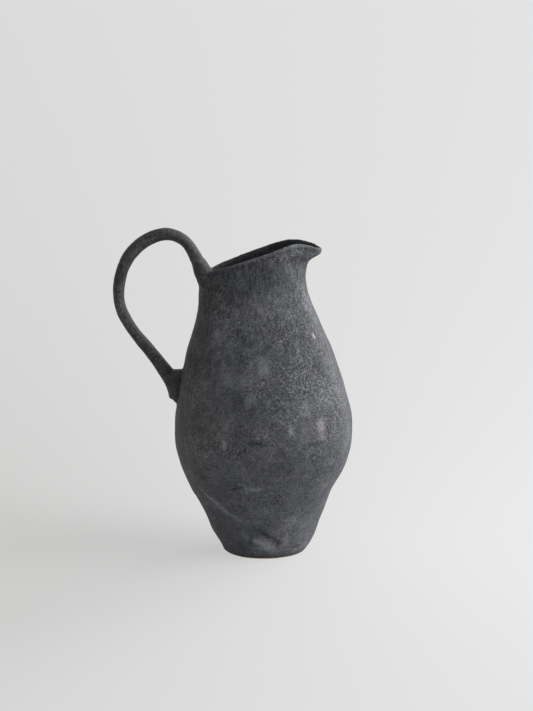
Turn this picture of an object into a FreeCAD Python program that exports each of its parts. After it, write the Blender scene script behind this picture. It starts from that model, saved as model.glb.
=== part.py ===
# Hand-built dark stoneware jug with a tall arched handle and a pouring beak.
# Lengths are in millimetres. The origin is the centre of the foot, on the surface that the
# jug stands on. +X points to the pouring beak, -X to the handle, and +Z is up.
import FreeCAD
import Part
import math
import os

V = FreeCAD.Vector

# Driving sizes: alias, value, meaning
SIZES = [
    ("foot_radius", 37.0, "round foot"),
    ("foot_round", 2.5, "rounding of the foot's bottom edge"),
    ("floor_thickness", 9.0, "slab that the wall stands on"),
    ("belly_height", 112.0, "height of the widest level"),
    ("belly_radius", 81.4, "outside radius at the widest level"),
    ("waist_height", 250.0, "narrowest level of the neck"),
    ("waist_front", 38.7, "outside reach of the waist towards the beak"),
    ("waist_back", 55.0, "outside reach of the waist towards the handle"),
    ("waist_side", 34.0, "outside reach of the squeezed waist to each side"),
    ("mouth_back", 49.5, "outside reach of the rim towards the handle"),
    ("mouth_side", 29.5, "outside reach of the rim to each side"),
    ("beak_reach", 53.2, "outside reach of the beak's tip"),
    ("beak_height", 278.5, "top of the beak's tip"),
    ("brow_height", 285.0, "highest part of the rim"),
    ("heel_height", 258.5, "rim beside the handle"),
    ("wall", 6.0, "wall of the body"),
    ("lip_wall", 5.0, "wall at the rim"),
    ("rim_round", 1.4, "rounding of the rim's two edges"),
    ("collar_height", 238.0, "seam under the collar"),
    ("seam_slope", 20.0, "degrees that each seam falls towards the inside"),
    ("floor_coil_leg", 8.0, "coil pressed in the corner of the floor"),
    ("lip_start", 21.0, "where the beak's own clay starts"),
    ("lip_seam", 261.0, "height where the beak's own clay starts"),
    ("handle_width", 17.0, "handle from side to side"),
    ("handle_thickness", 10.2, "handle from its inside to its outside"),
    ("handle_reach", 131.0, "centre line of the handle at its farthest"),
    ("handle_crown", 292.2, "centre line of the handle at its highest"),
    ("handle_seat", 158.0, "height where the handle lands on the wall"),
    ("handle_stub", 16.0, "length of handle pressed down the wall below its seat"),
    ("luting_spread", 3.6, "clay smeared round each end of the handle"),
    ("web_rise", 9.0, "clay web in the corner above the handle's seat"),
    ("overrun", 12.0, "how far cutting shapes pass what they cut"),
]

# Outside outline from the foot to the belly, and from the belly to the waist. Each row is
# a level: its share of the height, then of the change in reach to the front, back and side
LOWER_SHARES = [
    (0.000, 0.000, 0.000, 0.000),
    (0.090, 0.155, 0.105, 0.130),
    (0.215, 0.290, 0.270, 0.280),
    (0.446, 0.516, 0.550, 0.533),
    (0.690, 0.828, 0.845, 0.836),
    (0.840, 0.958, 0.950, 0.955),
]
UPPER_SHARES = [
    (0.000, 0.000, 0.000, 0.000),
    (0.160, 0.046, 0.064, 0.055),
    (0.326, 0.200, 0.210, 0.190),
    (0.522, 0.410, 0.424, 0.400),
    (0.696, 0.658, 0.689, 0.640),
    (0.855, 0.880, 0.850, 0.850),
    (1.000, 1.000, 1.000, 1.000),
]

# The mouth's levels above the waist: share of the height from waist to brow, then of the
# change in reach to the beak, the back and the side, and how far the beak is drawn out
MOUTH_SHARES = [
    (0.22, 0.01, 0.45, 0.40, 0.25),
    (0.40, 0.08, 0.75, 0.70, 0.50),
    (0.54, 0.26, 0.92, 0.88, 0.72),
    (0.66, 0.74, 1.00, 0.96, 0.88),
    (0.76, 0.96, 1.00, 1.00, 0.98),
    (0.90, 1.03, 1.00, 1.00, 1.00),
    (1.06, 1.06, 1.00, 1.00, 1.00),
    (1.25, 1.08, 1.00, 1.00, 1.00),
]

# The rim seen from the side: share of the way from the back of the rim to the beak's tip,
# and share of the rise from the heel to the brow. The drop to the tip has its own shares
RIM_RISE_SHARES = [
    (-0.12, -0.10),
    (0.00, 0.00),
    (0.16, 0.24),
    (0.36, 0.51),
    (0.56, 0.79),
    (0.70, 0.965),
    (0.79, 1.00),
]
RIM_DROP_SHARES = [
    (0.88, 0.26),
    (0.95, 0.68),
    (1.00, 1.00),
    (1.10, 2.00),
]

# The handle's centre line. The rising part goes from the back of the rim to the crown, and
# the falling part from the crown to its seat on the wall. Each row is a share of the reach,
# a share of the rise, and the thickness and width there as shares of the handle's own
RISING_SHARES = [
    (0.092, 0.134, 1.18, 1.12),
    (0.158, 0.448, 1.00, 1.02),
    (0.243, 0.769, 0.96, 1.00),
    (0.380, 0.967, 1.03, 1.00),
    (0.460, 1.000, 1.10, 1.00),
]
FALLING_SHARES = [
    (0.319, 0.994, 1.11, 1.00),
    (0.533, 0.960, 1.12, 1.00),
    (0.703, 0.908, 1.12, 1.00),
    (0.830, 0.846, 1.12, 0.99),
    (0.915, 0.779, 1.07, 0.98),
    (0.987, 0.673, 0.99, 0.97),
    (0.996, 0.557, 0.95, 0.96),
    (0.949, 0.475, 0.93, 0.96),
    (0.850, 0.393, 0.93, 0.96),
    (0.701, 0.305, 0.96, 0.97),
    (0.480, 0.194, 1.05, 0.98),
    (0.321, 0.106, 1.16, 1.00),
]

# Ends of the handle, in the clay of the rim and down the wall. Each row is the distance
# from the handle's root or from its seat, as a share of the handle's thickness or of the
# stub, how far out of the wall the centre lies as a share of the thickness, and the
# thickness and width there
ROOT_SHARES = [
    (-2.00, -0.85, 0.85, 1.00),
    (-1.18, -0.42, 1.15, 1.18),
    (-0.30, 0.08, 1.42, 1.24),
]
STUB_SHARES = [
    (0.00, 0.84, 1.28, 1.04),
    (-0.55, 0.36, 1.28, 1.06),
    (-1.00, 0.13, 1.26, 1.00),
]

# Clay smeared round the two ends of the handle: distance from the root or the seat, how
# far its middle lies inwards of the handle's as a share of the thickness, its level
# thickness as a share of the handle's there, and how far it spreads beyond its sides
UPPER_LUTING_SHARES = [
    (-2.05, -0.54, 0.62, -0.60),
    (-1.13, 0.03, 1.04, 0.82),
    (-0.25, 0.04, 1.12, 0.65),
    (0.15, 0.06, 1.13, 0.48),
    (0.32, 0.03, 1.10, 0.26),
]
LOWER_LUTING_SHARES = [
    (-1.25, 0.26, 0.39, -0.60),
    (-0.92, 0.07, 0.86, 0.72),
    (-0.50, 0.08, 1.04, 0.86),
    (0.06, 0.38, 1.10, 0.51),
    (0.50, 1.00, 1.12, -0.64),
]

# Shape of the mouth seen from above
PINCH_SHARE = 0.26
BLUNT_SHARE = 0.28

# The rim's rounding is at most this share of its wall, and the handle's root lies at least
# this share of its thickness under its crown
RIM_ROUND_SHARE = 0.28
CROWN_RISE_SHARE = 1.6

COURSE_NAMES = [
    "foot_course",
    "lower_course",
    "turn_course",
    "belly_course",
    "crown_course",
    "shoulder_course",
    "upper_course",
    "neck_course",
]
SECTION_POINTS = 28
OVAL_POINTS = 12

doc = FreeCAD.newDocument("jug")
sheet = doc.addObject("Spreadsheet::Sheet", "sizes")
for row, (alias, value, meaning) in enumerate(SIZES, start=1):
    sheet.set("A%d" % row, alias)
    sheet.set("B%d" % row, str(value))
    sheet.set("C%d" % row, meaning)
    sheet.setAlias("B%d" % row, alias)
doc.recompute()


def size(alias):
    """A driving size, read from the sheet."""
    return float(sheet.get(alias))


def between(start, end, share):
    """The value at a share of the way from start to end."""
    return start + (end - start) * share


def shaped(name, shape):
    """A document object that holds a shape worked out from the sheet."""
    feature = doc.addObject("Part::Feature", name)
    feature.Shape = shape
    feature.Placement = FreeCAD.Placement()
    return feature


def bound(kind, name, **cells):
    """A primitive whose properties are bound to the sheet by expressions."""
    feature = doc.addObject(kind, name)
    for prop, expression in cells.items():
        feature.setExpression(prop.replace("__", "."), expression)
    return feature


def cut(name, base, tool):
    feature = doc.addObject("Part::Cut", name)
    feature.Base = base
    feature.Tool = tool
    doc.recompute()
    return feature


def common(name, base, tool):
    feature = doc.addObject("Part::Common", name)
    feature.Base = base
    feature.Tool = tool
    doc.recompute()
    return feature


def loft(name, sections):
    feature = doc.addObject("Part::Loft", name)
    feature.Sections = sections
    feature.Solid = True
    feature.Ruled = False
    feature.Closed = False
    doc.recompute()
    return feature


def closed_curve(points):
    """A smooth closed wire through points that are evenly spaced round the section."""
    steps = [index / len(points) for index in range(len(points) + 1)]
    curve = Part.BSplineCurve()
    curve.interpolate(Points=points, PeriodicFlag=True, Parameters=steps)
    return Part.Wire([curve.toShape()])


def body_levels():
    """The outside levels: height, front, back and side reach, and how beaked they are."""
    foot = size("foot_radius")
    belly = size("belly_radius")
    levels = []
    for up, front, back, side in LOWER_SHARES:
        height = size("belly_height") * up
        levels.append((height, between(foot, belly, front), between(foot, belly, back),
                       between(foot, belly, side), 0.0))
    for up, front, back, side in UPPER_SHARES:
        height = between(size("belly_height"), size("waist_height"), up)
        levels.append((height, between(belly, size("waist_front"), front),
                       between(belly, size("waist_back"), back),
                       between(belly, size("waist_side"), side), 0.0))
    for up, front, back, side, beaked in MOUTH_SHARES:
        height = between(size("waist_height"), size("brow_height"), up)
        levels.append((height, between(size("waist_front"), size("beak_reach"), front),
                       between(size("waist_back"), size("mouth_back"), back),
                       between(size("waist_side"), size("mouth_side"), side), beaked))
    return levels


def section(height, front, back, side, beaked):
    """One level of the body: two half ovals, with a drawn-out beak where it is beaked."""
    points = []
    for index in range(SECTION_POINTS):
        turn = math.pi / 2 + 2 * math.pi * index / SECTION_POINTS
        along = math.cos(turn)
        across = math.sin(turn)
        spread = abs(across)
        if along > 0:
            cheek = (4 * along ** 2 * (1 - along ** 2)) ** 2
            spread *= 1 - PINCH_SHARE * beaked * cheek
            reach = front
        else:
            spread **= 1 - BLUNT_SHARE * beaked
            reach = back
        points.append(V(reach * along, math.copysign(side * spread, across), height))
    return closed_curve(points)


def back_reach(height):
    """The wall's outside reach towards the handle at a height."""
    levels = body_levels()
    for lower, upper in zip(levels, levels[1:]):
        if lower[0] <= height <= upper[0]:
            return between(lower[2], upper[2], (height - lower[0]) / (upper[0] - lower[0]))
    return levels[-1][2]


def outer_form():
    """The jug as a full solid, from its foot to above its rim."""
    sections = []
    for index, level in enumerate(body_levels()):
        sections.append(shaped("outer_section_%02d" % index, section(*level)))
    return loft("outer_form", sections)


def inner_form():
    """The hollow, from the top of the floor slab to above the rim."""
    levels = body_levels()
    floor = size("floor_thickness")
    first, second = levels[1], levels[2]
    share = max(0.0, (floor - first[0]) / (second[0] - first[0]))
    reaches = [between(low, high, share) for low, high in zip(first[1:4], second[1:4])]
    inner = [(floor,) + tuple(reach - size("wall") for reach in reaches) + (0.0,)]
    for height, front, back, side, beaked in levels:
        if height <= floor + size("wall"):
            continue
        wall = between(size("wall"), size("lip_wall"), beaked)
        inner.append((height, front - wall, back - wall, side - wall, beaked))
    sections = []
    for index, level in enumerate(inner):
        sections.append(shaped("inner_section_%02d" % index, section(*level)))
    return loft("inner_form", sections)


def rim_outline():
    """Points of the rim seen from the side, from the back to the tip of the beak."""
    back = -size("mouth_back")
    tip = size("beak_reach")
    points = []
    for along, rise in RIM_RISE_SHARES:
        points.append(V(between(back, tip, along), 0,
                        between(size("heel_height"), size("brow_height"), rise)))
    for along, drop in RIM_DROP_SHARES:
        points.append(V(between(back, tip, along), 0,
                        between(size("brow_height"), size("beak_height"), drop)))
    return points


def rim_cutter():
    """Everything above the rim's sloping line."""
    depth = size("mouth_side") + size("overrun")
    crest = [V(point.x, -depth, point.z) for point in rim_outline()]
    reach = size("handle_reach")
    sky = size("handle_crown") + reach
    back = V(-reach, -depth, crest[0].z)
    front = V(reach, -depth, crest[-1].z)
    curve = Part.BSplineCurve()
    curve.interpolate(crest)
    edges = [
        Part.makeLine(back, crest[0]),
        curve.toShape(),
        Part.makeLine(crest[-1], front),
        Part.makeLine(front, V(reach, -depth, sky)),
        Part.makeLine(V(reach, -depth, sky), V(-reach, -depth, sky)),
        Part.makeLine(V(-reach, -depth, sky), back),
    ]
    profile = shaped("rim_profile", Part.Face(Part.Wire(edges)))
    cutter = doc.addObject("Part::Extrusion", "rim_cutter")
    cutter.Base = profile
    cutter.DirMode = "Custom"
    cutter.Dir = V(0, 1, 0)
    cutter.setExpression("LengthFwd", "2 * (sizes.mouth_side + sizes.overrun)")
    cutter.Solid = True
    doc.recompute()
    return cutter


def foot_slab(outer, disc):
    """The floor of the jug, a thick disc with a rounded bottom edge."""
    blank = common("foot_blank", outer, disc)
    lowest = [index for index, edge in enumerate(blank.Shape.Edges, start=1)
              if edge.BoundBox.ZMax < size("foot_round") / 2]
    slab = doc.addObject("Part::Fillet", "foot_slab")
    slab.Base = blank
    slab.Edges = [(index, size("foot_round"), size("foot_round")) for index in lowest]
    doc.recompute()
    return slab


def floor_coil(inner):
    """A thin coil pressed into the corner between the floor and the wall."""
    body = doc.addObject("PartDesign::Body", "coil_body")
    plane = [item for item in body.Origin.OriginFeatures if item.Role == "XZ_Plane"][0]
    sketch = body.newObject("Sketcher::SketchObject", "coil_sketch")
    sketch.AttachmentSupport = [(plane, "")]
    sketch.MapMode = "FlatFace"
    floor = size("floor_thickness")
    leg = size("floor_coil_leg")
    corner = between(size("foot_radius"), size("belly_radius"), LOWER_SHARES[1][2]) - size("wall")
    outside = corner + leg
    inside = corner - leg
    top = floor + leg
    sag = leg * (1 - math.cos(math.pi / 4))
    sketch.addGeometry(Part.LineSegment(V(inside, floor, 0), V(outside, floor, 0)), False)
    sketch.addGeometry(Part.LineSegment(V(outside, floor, 0), V(outside, top + leg, 0)), False)
    sketch.addGeometry(Part.LineSegment(V(outside, top + leg, 0), V(corner + sag, top, 0)), False)
    sketch.addGeometry(Part.Arc(V(corner + sag, top, 0), V(corner - sag, floor + sag, 0),
                                V(inside, floor, 0)), False)
    doc.recompute()
    ring = body.newObject("PartDesign::Revolution", "coil_ring")
    ring.Profile = sketch
    ring.ReferenceAxis = (sketch, ["V_Axis"])
    ring.Angle = 360
    doc.recompute()
    return common("floor_coil", body, inner)


def seam_cones():
    """Upward cones: the space above each seam, which falls towards the inside."""
    cones = []
    count = len(COURSE_NAMES)
    slope = math.tan(math.radians(size("seam_slope")))
    for index in range(1, count + 1):
        height = between(size("floor_thickness"), size("collar_height"), index / count)
        cone = bound("Part::Cone", "seam_%d" % index,
                     Height="sizes.brow_height + sizes.overrun",
                     Radius2="(sizes.brow_height + sizes.overrun) / tan(sizes.seam_slope)")
        cone.Radius1 = 0
        apex = height - back_reach(height) * slope
        cone.Placement = FreeCAD.Placement(V(0, 0, apex), FreeCAD.Rotation())
        cones.append(cone)
    doc.recompute()
    return cones


def wall_courses(shell, cones):
    """The courses of clay that the wall is built up from, each lapped on the last."""
    courses = []
    rest = shell
    for name, cone in zip(COURSE_NAMES, cones):
        courses.append(cut(name, rest, cone))
        rest = common("above_" + name, rest, cone)
    return courses, rest


def on_rim(edge):
    """Whether an edge runs along the sloping rim, and isn't the end of the beak's clay."""
    middle = edge.valueAt(between(edge.FirstParameter, edge.LastParameter, 0.5))
    if abs(middle.x - size("lip_start")) < size("rim_round") / 4:
        return False
    crest = rim_outline()
    curve = Part.BSplineCurve()
    curve.interpolate(crest)
    flat = Part.Vertex(V(middle.x, 0, middle.z))
    return curve.toShape().distToShape(flat)[0] < size("rim_round") / 4


def rounded_rim(name, blank):
    """A piece of the mouth with the rim's two edges rounded over."""
    radius = min(size("rim_round"), RIM_ROUND_SHARE * size("lip_wall"))
    rounded = doc.addObject("Part::Fillet", name)
    rounded.Base = blank
    edges = [index for index, edge in enumerate(blank.Shape.Edges, start=1) if on_rim(edge)]
    rounded.Edges = [(index, radius, radius) for index in edges]
    doc.recompute()
    return rounded


def lip_wedge():
    """The space that the beak's own clay fills."""
    return bound("Part::Box", "lip_wedge",
                 Length="sizes.beak_reach",
                 Width="2 * (sizes.mouth_side + sizes.overrun)",
                 Height="sizes.brow_height - sizes.lip_seam + sizes.overrun",
                 Placement__Base__x="sizes.lip_start",
                 Placement__Base__y="-sizes.mouth_side - sizes.overrun",
                 Placement__Base__z="sizes.lip_seam")


def oval(centre, heading, thick, wide):
    """An oval section, square to its heading and level from side to side."""
    outward = V(0, 1, 0).cross(V(heading).normalize())
    points = []
    for index in range(OVAL_POINTS):
        turn = 2 * math.pi * index / OVAL_POINTS
        offset = outward * (math.sin(turn) * thick / 2) + V(0, math.cos(turn) * wide / 2, 0)
        points.append(centre + offset)
    return closed_curve(points)


def root_height():
    """Where the handle leaves the wall: the heel of the rim, or lower under a low crown."""
    thick = size("handle_thickness")
    return min(size("heel_height"), size("handle_crown") - CROWN_RISE_SHARE * thick)


def handle_line():
    """Centre points of the handle with its thickness and width at each, rim end first."""
    thick = size("handle_thickness")
    wide = size("handle_width")
    root = root_height()
    seat = size("handle_seat")
    crown = size("handle_crown")
    reach = size("handle_reach")
    stations = []
    for up, out, girth, breadth in ROOT_SHARES:
        height = root + up * thick
        stations.append((-back_reach(height) - out * thick, height, girth, breadth))
    for along, up, girth, breadth in RISING_SHARES:
        stations.append((-between(size("mouth_back"), reach, along), between(root, crown, up),
                         girth, breadth))
    for along, up, girth, breadth in FALLING_SHARES:
        stations.append((-between(back_reach(seat), reach, along), between(seat, crown, up),
                         girth, breadth))
    for up, out, girth, breadth in STUB_SHARES:
        height = seat + up * size("handle_stub")
        stations.append((-back_reach(height) - out * thick, height, girth, breadth))
    return [(V(x, 0, z), girth * thick, breadth * wide) for x, z, girth, breadth in stations]


def handle_blank(stations):
    """The whole coil of the handle, with its ends still passing into the wall."""
    sections = []
    for index, (place, thick, wide) in enumerate(stations):
        before = stations[max(index - 1, 0)][0]
        after = stations[min(index + 1, len(stations) - 1)][0]
        sections.append(shaped("handle_section_%02d" % index,
                               oval(place, after - before, thick, wide)))
    return loft("handle_blank", sections)


def on_handle(stations, height):
    """The handle's centre, level thickness and width where a level plane crosses it."""
    for (low, thin, narrow), (high, thick, wide) in zip(stations, stations[1:]):
        if height <= high.z:
            break
    share = max(0.0, (height - low.z) / (high.z - low.z))
    slant = (high - low).Length / (high.z - low.z)
    return (low + (high - low) * share, slant * between(thin, thick, share),
            between(narrow, wide, share))


def luting_blank(name, stations, base, step_down, step_up, rows):
    """Clay smeared round an end of the handle, before it is fitted to what it joins."""
    sections = []
    for index, (up, inward, girth, breadth) in enumerate(rows):
        height = base + up * (step_up if up > 0 else step_down)
        centre, thick, wide = on_handle(stations, height)
        place = V(centre.x + inward * size("handle_thickness"), 0, height)
        spread = wide + 2 * breadth * size("luting_spread")
        sections.append(shaped("%s_section_%02d" % (name, index),
                               oval(place, V(0, 0, 1), girth * thick, spread)))
    return loft(name + "_blank", sections)


def check(features):
    """Every object has to be computed, and every sub-part a valid solid."""
    for item in doc.Objects:
        if "Invalid" in item.State or "Error" in item.State:
            raise RuntimeError("%s failed: %s" % (item.Name, item.State))
    for feature in features:
        if feature.Shape.isNull() or not feature.Shape.isValid():
            raise RuntimeError("%s has no valid shape" % feature.Label)
        if len(feature.Shape.Solids) != 1:
            raise RuntimeError("%s is %d solids" % (feature.Label, len(feature.Shape.Solids)))


def build():
    """All the sub-parts, from the foot up."""
    outer = outer_form()
    inner = inner_form()
    disc = bound("Part::Cylinder", "floor_disc",
                 Radius="sizes.belly_radius", Height="sizes.floor_thickness")
    doc.recompute()
    slab = foot_slab(outer, disc)
    coil = floor_coil(inner)
    filled = cut("form_above_floor", cut("form_below_rim", outer, rim_cutter()), disc)
    courses, top = wall_courses(cut("vessel_wall", filled, inner), seam_cones())
    wedge = lip_wedge()
    collar = rounded_rim("mouth_collar", cut("sharp_collar", top, wedge))
    lip = rounded_rim("pouring_lip", common("sharp_lip", top, wedge))
    line = handle_line()
    grip = handle_blank(line)
    handle = cut("handle", grip, filled)
    root = root_height()
    rising = line[:len(ROOT_SHARES) + 2]
    falling = line[:-len(STUB_SHARES) - 3:-1]
    upper_blank = luting_blank("upper", rising, root, size("handle_thickness"),
                               size("handle_crown") - root, UPPER_LUTING_SHARES)
    upper = cut("upper_luting", cut("upper_round_handle", upper_blank, grip), filled)
    lower_blank = luting_blank("lower", falling, size("handle_seat"), size("handle_stub"),
                               2 * size("web_rise"), LOWER_LUTING_SHARES)
    lower = cut("lower_luting", cut("lower_round_handle", lower_blank, grip), filled)
    return [slab, coil] + courses + [collar, lip, handle, upper, lower]


subparts = build()
check(subparts)
os.makedirs("parts", exist_ok=True)
for subpart in subparts:
    subpart.Label = subpart.Name
    subpart.Shape.exportStep("parts/%s.step" % subpart.Label)
    print("%-16s %9.1f mm3" % (subpart.Label, subpart.Shape.Volume))
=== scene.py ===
import math

import bpy
import numpy as np
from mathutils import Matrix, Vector
from mathutils.bvhtree import BVHTree


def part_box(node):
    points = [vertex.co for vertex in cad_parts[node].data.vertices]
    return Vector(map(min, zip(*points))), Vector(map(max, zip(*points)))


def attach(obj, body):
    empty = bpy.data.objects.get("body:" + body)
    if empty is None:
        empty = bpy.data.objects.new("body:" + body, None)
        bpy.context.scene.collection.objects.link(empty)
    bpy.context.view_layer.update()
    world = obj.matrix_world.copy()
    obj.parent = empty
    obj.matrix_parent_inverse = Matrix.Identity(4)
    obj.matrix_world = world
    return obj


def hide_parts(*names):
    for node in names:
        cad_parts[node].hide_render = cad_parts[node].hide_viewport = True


# The jug stands on its foot at the origin. +X points to the beak, and +Z is up. A bearing is
# the turn round the jug from +X, so that -90 degrees faces the camera. Lengths are in metres.
MM = 0.001
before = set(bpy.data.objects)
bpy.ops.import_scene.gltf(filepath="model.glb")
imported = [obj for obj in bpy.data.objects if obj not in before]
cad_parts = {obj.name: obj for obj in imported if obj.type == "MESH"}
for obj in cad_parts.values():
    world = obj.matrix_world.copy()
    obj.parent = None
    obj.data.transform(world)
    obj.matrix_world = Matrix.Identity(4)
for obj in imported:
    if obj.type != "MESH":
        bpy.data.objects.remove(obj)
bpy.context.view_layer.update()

COURSES = ["foot_course", "lower_course", "turn_course", "belly_course",
           "crown_course", "shoulder_course", "upper_course", "neck_course"]
WALL_NODES = ["foot_slab"] + COURSES + ["mouth_collar", "pouring_lip"]
HANDLE_NODES = ["handle", "upper_luting", "lower_luting"]

# How finely the clay is meshed
BEARINGS = 640
FOOT_ROWS = 16
COURSE_ROWS = 36
COLLAR_ROWS = 24
LIP_ROWS = 24
ROLL_ROWS = 7
DISC_RINGS = 30
COIL_ROWS = 12
HANDLE_CELL = 0.6 * MM

# The seams between the pieces of the wall, as the solids have them
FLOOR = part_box("foot_slab")[1].z
COIL_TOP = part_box("floor_coil")[1].z
COLLAR_SEAM = 238 * MM
SEAM_SLOPE = math.tan(math.radians(20))
LIP_SEAM = 261 * MM
LIP_HALF_ANGLE = math.radians(49)
RIM_ROLL = 3.2 * MM

# How far out rays start, and how far above its row each is cast
OUTSIDE = 0.2
JUST_ABOVE = 0.01 * MM

# The heights between which the rim's top is looked for, and how closely
CREST_LOW = 250 * MM
CREST_HIGH = 290 * MM
CREST_STEP = 0.02 * MM

# The least height of the lip's first rows, how much of the wall's lean the rim's rounding
# keeps, and how the rows and rings of the foot crowd together
LEAST_LIP = 6 * MM
RIM_LEAN_SHARE = 0.7
FOOT_ROW_POWER = 1.6
DISC_POWER = 0.8

# The coil's gap to its solid's lower and upper ends, and how far it is let into the wall
COIL_GAP = 0.05 * MM
COIL_SUNK = 1.2 * MM

# How high the relief stands, and how far it is let into the solid's surface
INSET = 0.25 * MM
SWELL = 0.32 * MM
DENT = 0.24 * MM
GRIT = 0.06 * MM
CRACKLE = 0.11 * MM
RIBBING = 0.10 * MM
WIPING = 0.07 * MM
BAND = 0.16 * MM
MARK_RISE = 0.10 * MM
FLOOR_DENT = 0.35 * MM
FLOOR_LOW = 0.3 * MM

# The rim's raised edge, the groove under it and its wave: how much, how far down, how wide
RIM_EDGE = 0.35 * MM
EDGE_DEPTH = 1.8 * MM
RIM_GROOVE = 0.25 * MM
GROOVE_DEPTH = 4.2 * MM
GROOVE_WIDTH = 1.4 * MM
RIM_WAVE = 0.7 * MM
RIM_WAVE_LENGTH = 14 * MM
RIM_WAVE_DEPTH = 6 * MM

# How far marks are pushed out of shape, and how far across each feature is
WARP = 2.2 * MM
WARP_CELL = 9 * MM
SWELL_CELL = 34 * MM
DENT_CELL = 12 * MM
GRIT_CELL = 3 * MM
CRACKLE_CELL = 3 * MM
VEIN_CELL = 1.9 * MM
CRAZED_CELL = 30 * MM
CRAZED_PATCH = 8 * MM
MARK_PATCH = 3.5 * MM
RIB_CELL = 2.2 * MM
WIPE_CELL = 2.4 * MM
BAND_CELL = 50 * MM
CLOUD_CELL = 22 * MM
FLECK_CELL = 8 * MM
TINT_CELL = 40 * MM
FLOOR_CELL = 11 * MM

# Where some of them start and where they are at their full strength
RIBS_FROM_BELOW = (175 * MM, 235 * MM)
RIBS_FROM_ABOVE = (290 * MM, 265 * MM)
WIPED_FROM = (120 * MM, 85 * MM)
CRAZED_FROM = (60 * MM, 120 * MM)
# Painted shade where the foot turns under, near the floor
SHADED_FOOT = (6 * MM, 2.5 * MM)
WARM_SIDE = (30 * MM, 75 * MM)

# Where the clay is dabbed most, as bearing, height, width, length and lean, and how much wider
# than its table says each crazed patch fades out
DABBED = (-125, 190, 90, 120, 0)
CRAZED_SPREAD = 1.6

# How strongly each of them shows in the tone and in the brown of the clay, or as painted shade and
# highlight
MARK_TONE = 2
CLOUD_TONE = 0.32
FLECK_TONE = 0.30
DABBED_TONE = 0.9
RIB_TONE = 0.75
WIPE_TONE = 0.36
GRIT_TONE = 0.16
# Painted shade where the foot turns under, near the floor
FOOT_SHADE_TONE = 0.4
# Painted highlight along the rim's top, and painted shadow in the groove under its outer edge
RIM_HIGHLIGHT_TONE = 0.5
GROOVE_SHADOW_TONE = 0.35
TINT_BROWN = 0.15
WARM_BROWN = 0.30

# The inside beside the outside: how much rougher it and its coil are, and its share of brown
INSIDE_RISE = 1.3
COIL_RISE = 1.6
INSIDE_BROWN = 0.3

# The handle's own relief and tone, the painted shade over all of it, and how it joins the wall
HANDLE_FULLER = 0.22 * MM
PIT = 0.18 * MM
PIT_CELL = 3.4 * MM
PITTED_FROM = (0.35, 0.75)
PIT_TONE = 0.4
HANDLE_TONE_SHARE = 0.7
# Painted shade over the whole handle
HANDLE_PAINTED_SHADE = 0.45
BLEND = 5 * MM
BLEND_REACH = 60 * MM
BLEND_SIDE = 30 * MM
BLEND_OVER = 10 * MM
SUNK = 2 * MM
SUNK_FROM = 0.55 * MM
SUNK_AT = 0.1 * MM
UP_SHARE = 0.6
SMOOTH_ROUNDS = 16
SMOOTH_SHARE = 0.6
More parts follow.
